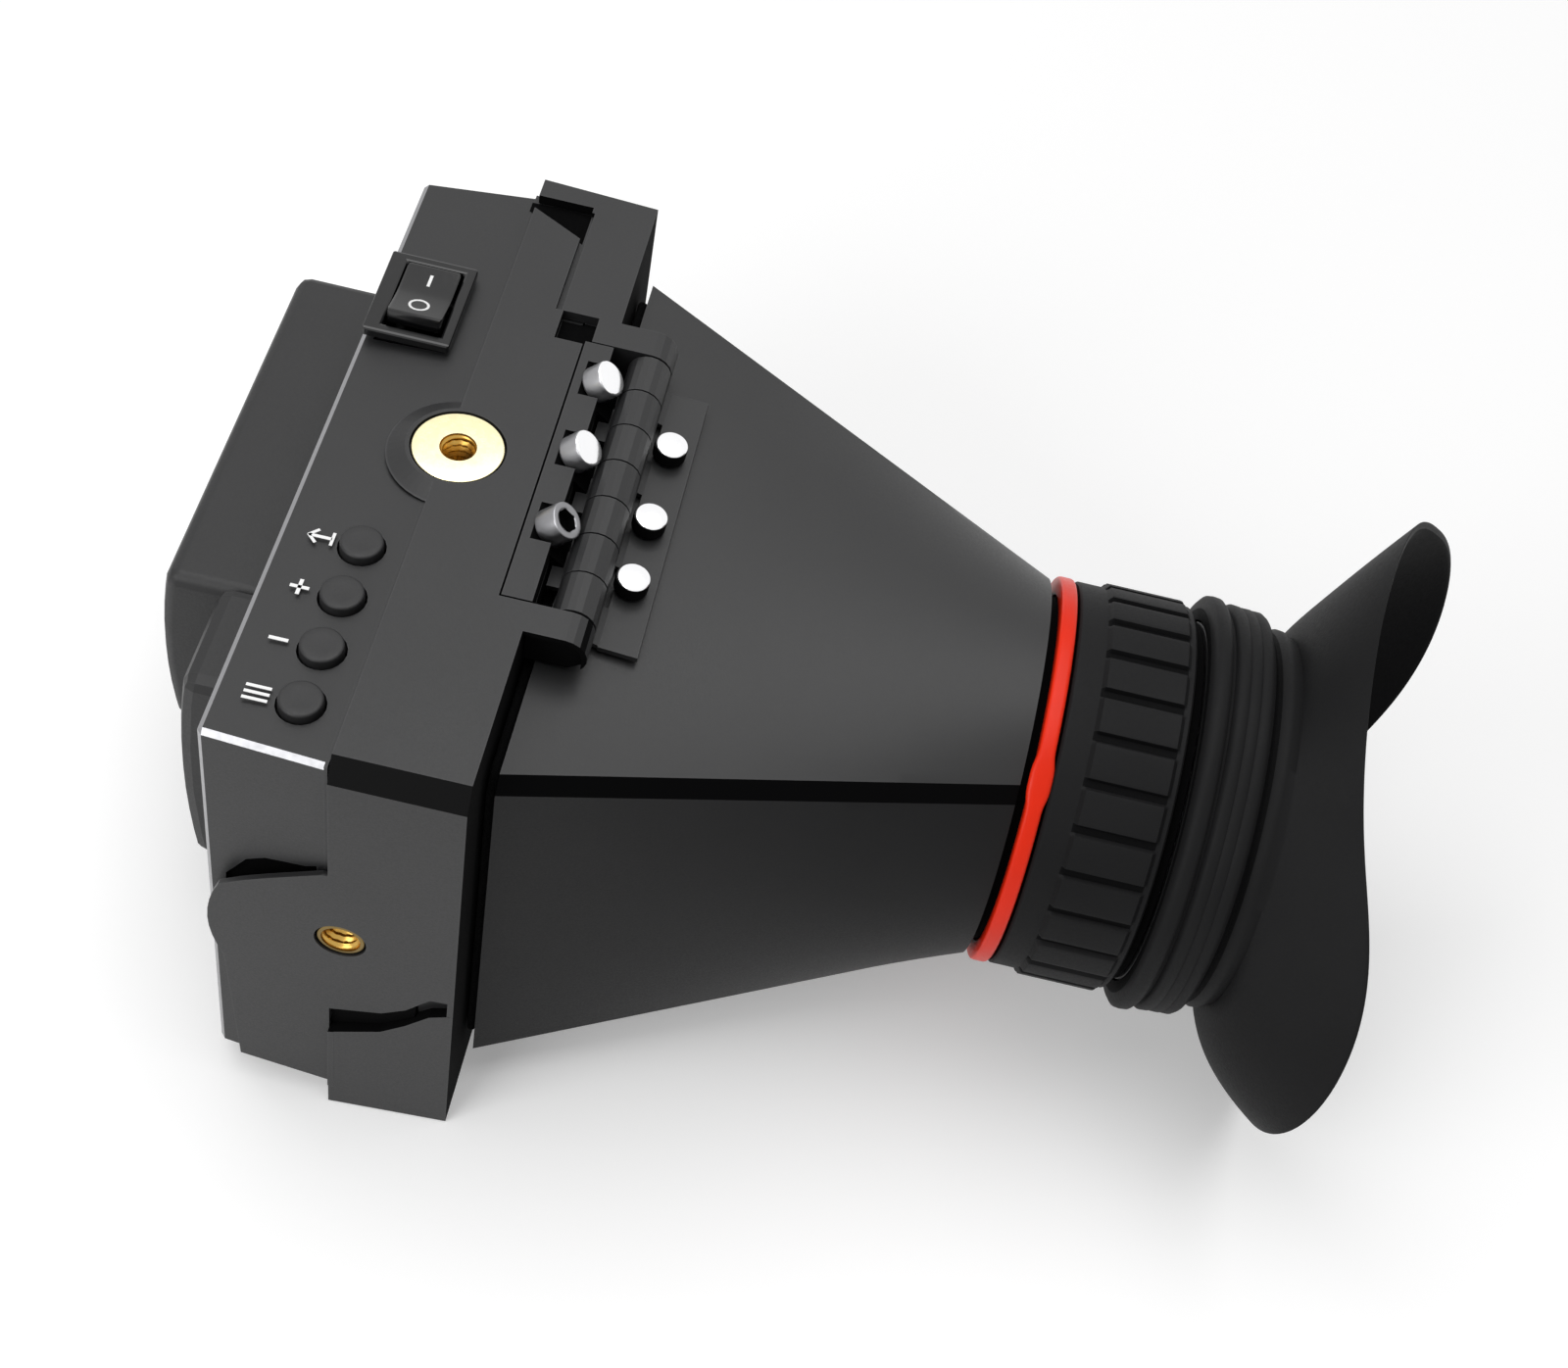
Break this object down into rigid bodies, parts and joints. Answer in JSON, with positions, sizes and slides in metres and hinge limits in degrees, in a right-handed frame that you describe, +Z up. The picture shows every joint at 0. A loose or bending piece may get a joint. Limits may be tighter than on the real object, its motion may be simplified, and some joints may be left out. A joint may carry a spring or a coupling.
{
  "type": "camera viewfinder",
  "caption": "Flip-up electronic viewfinder: small screen in a mounting frame, tapered hood on a knuckle hinge, focusing eyepiece with a winged rubber eyecup, and a battery on the back.",
  "frame": {"origin": "middle of the mounting frame's underside, at mid-width and at mid-depth of the frame", "axes": "+Z up towards the switch, buttons and hinge; -Y towards the eye; +X towards the side with the video socket"},
  "size_m": [0.1284, 0.2147, 0.0996],
  "materials": {
    "black_painted_metal": "satin",
    "black_plastic": "satin",
    "gloss_black_plastic": "gloss",
    "black_rubber": "matte",
    "black_foam": "matte",
    "brass": "bright",
    "chrome": "bright",
    "steel": "satin",
    "orange_red": "satin",
    "clear_glass": "clear",
    "display_panel": "gloss",
    "circuit_board": "matte"
  },
  "bodies": {
    "screen_unit": {"mounting_frame": "black_painted_metal", "rear_housing": "black_painted_metal", "back_cover": "black_painted_metal", "display_panel": "display_panel", "screen_glass": "clear_glass", "circuit_board": "circuit_board", "switch_bezel": "gloss_black_plastic", "top_threaded_insert": "brass", "side_threaded_insert": "brass", "battery_plate": "black_plastic", "hinge_leaf_frame": "black_painted_metal", "frame_hinge_screw_far": "chrome", "frame_hinge_screw_middle": "chrome", "frame_hinge_screw_near": "chrome", "hinge_pin": "steel", "frame_magnet_far": "steel", "frame_magnet_near": "steel", "cover_screw_far_high": "steel", "cover_screw_far_low": "steel", "cover_screw_near_high": "steel", "cover_screw_near_low": "steel", "video_socket": "steel"},
    "hood": {"hood_shell": "black_plastic", "hinge_leaf_hood": "black_painted_metal", "hood_hinge_screw_far": "chrome", "hood_hinge_screw_middle": "chrome", "hood_hinge_screw_near": "chrome", "light_seal": "black_foam", "lens_barrel": "black_plastic", "red_marker_ring": "orange_red"},
    "focus": {"focus_ring": "black_rubber"},
    "magnifier": {"lens_cell": "black_plastic", "eyepiece_lens": "clear_glass", "lens_retaining_ring": "black_painted_metal"},
    "eyecup": {"eyecup_mount_ring": "black_plastic", "eyecup": "black_rubber"},
    "battery": {"battery_pack": "black_plastic"},
    "latch": {"battery_latch": "black_plastic"},
    "rocker": {"power_rocker": "gloss_black_plastic"},
    "exit_button": {"button_exit": "black_plastic"},
    "plus_button": {"button_plus": "black_plastic"},
    "minus_button": {"button_minus": "black_plastic"},
    "menu_button": {"button_menu": "black_plastic"}
  },
  "joints": [
    {"name": "hood_flip", "type": "hinge", "parent": "screen_unit", "child": "hood", "pos_m": [0, -0.0163, 0.0924], "axis": [-1, 0, 0], "range_deg": [0, 105]},
    {"name": "focus_turn", "type": "hinge", "parent": "hood", "child": "focus", "pos_m": [0, -0.1029, 0.049], "axis": [0, 1, 0], "range_deg": [-60, 60]},
    {"name": "lens_travel", "type": "slide", "parent": "hood", "child": "magnifier", "axis": [0, 1, 0], "range_m": [-0.0025, 0.0025]},
    {"name": "eyecup_turn", "type": "hinge", "parent": "hood", "child": "eyecup", "pos_m": [0, -0.12, 0.049], "axis": [0, 1, 0], "continuous": true},
    {"name": "battery_slide", "type": "slide", "parent": "screen_unit", "child": "battery", "axis": [1, 0, 0], "range_m": [0, 0.075]},
    {"name": "latch_press", "type": "slide", "parent": "screen_unit", "child": "latch", "axis": [0, -1, 0], "range_m": [0, 0.0011], "stiffness_N_per_m": 400},
    {"name": "power_switch", "type": "hinge", "parent": "screen_unit", "child": "rocker", "pos_m": [0.0296, 0.0217, 0.0951], "axis": [0, -1, 0], "range_deg": [0, 14]},
    {"name": "press_exit", "type": "slide", "parent": "screen_unit", "child": "exit_button", "axis": [0, 0, -1], "range_m": [0, 0.0006], "stiffness_N_per_m": 400},
    {"name": "press_plus", "type": "slide", "parent": "screen_unit", "child": "plus_button", "axis": [0, 0, -1], "range_m": [0, 0.0006], "stiffness_N_per_m": 400},
    {"name": "press_minus", "type": "slide", "parent": "screen_unit", "child": "minus_button", "axis": [0, 0, -1], "range_m": [0, 0.0006], "stiffness_N_per_m": 400},
    {"name": "press_menu", "type": "slide", "parent": "screen_unit", "child": "menu_button", "axis": [0, 0, -1], "range_m": [0, 0.0006], "stiffness_N_per_m": 400}
  ],
  "couplings": [
    {"joint": "lens_travel", "follows": "focus_turn", "m_per_rad": 0.0023}
  ]
}
